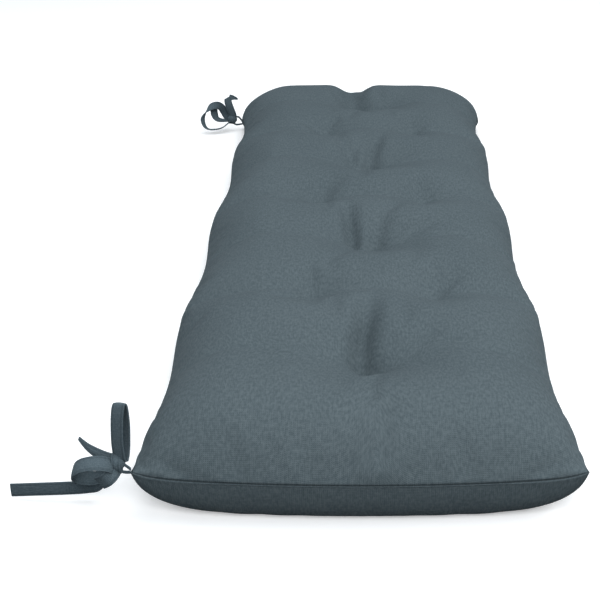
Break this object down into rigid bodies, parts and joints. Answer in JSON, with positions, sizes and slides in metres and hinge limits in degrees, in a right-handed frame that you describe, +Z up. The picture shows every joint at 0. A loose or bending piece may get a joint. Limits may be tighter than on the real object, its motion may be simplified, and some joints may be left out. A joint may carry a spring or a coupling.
{
  "type": "bench cushion",
  "caption": "Long tufted bench cushion with sewn channels, rounded filled edges and ribbon ties in bows at the corners of one long side.",
  "frame": {"origin": "centre of the flat underside, at the middle of the cushion's length and width", "axes": "+Z up out of the tufted top, +Y along the cushion's length towards the end with the sagging corners, +X away from the long side that carries the ties"},
  "size_m": [0.663, 1.532, 0.1375],
  "materials": {
    "cushion_cloth": "matt slate blue-grey woven cloth",
    "tie_ribbon": "matt dark slate woven ribbon"
  },
  "bodies": {
    "root": {"cushion": "cushion_cloth", "near_tie": "tie_ribbon", "far_tie": "tie_ribbon"}
  },
  "joints": []
}
